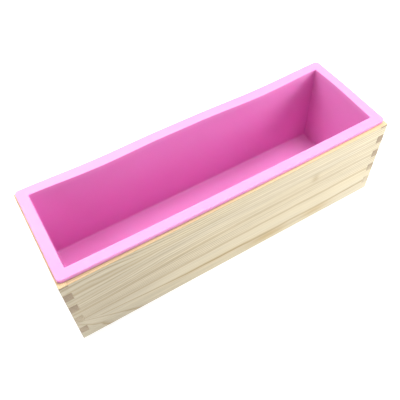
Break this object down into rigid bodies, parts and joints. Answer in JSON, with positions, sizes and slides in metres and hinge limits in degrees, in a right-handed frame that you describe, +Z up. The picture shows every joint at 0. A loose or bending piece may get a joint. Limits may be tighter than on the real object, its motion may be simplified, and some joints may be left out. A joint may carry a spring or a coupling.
{
  "type": "soap loaf mould",
  "caption": "Long open-topped pine box with finger-jointed corners, holding a lift-out pink silicone liner whose flat flange rests on the rim.",
  "frame": {"origin": "middle of the box's footprint, on the surface that it stands on", "axes": "+X along the box, +Y across it to the back long board, +Z up out of the opening"},
  "size_m": [0.28, 0.09, 0.0849],
  "materials": {
    "pine": "planed and unfinished",
    "plywood": "sanded and unfinished",
    "silicone": "satin, moulded"
  },
  "bodies": {
    "wooden_box": {"front_board": "pine", "back_board": "pine", "left_end_board": "pine", "right_end_board": "pine", "bottom_panel": "plywood"},
    "liner": {"silicone_liner": "silicone"}
  },
  "joints": [
    {"name": "liner_lift", "type": "slide", "parent": "wooden_box", "child": "liner", "axis": [0, 0, 1], "range_m": [0, 0.09]}
  ]
}
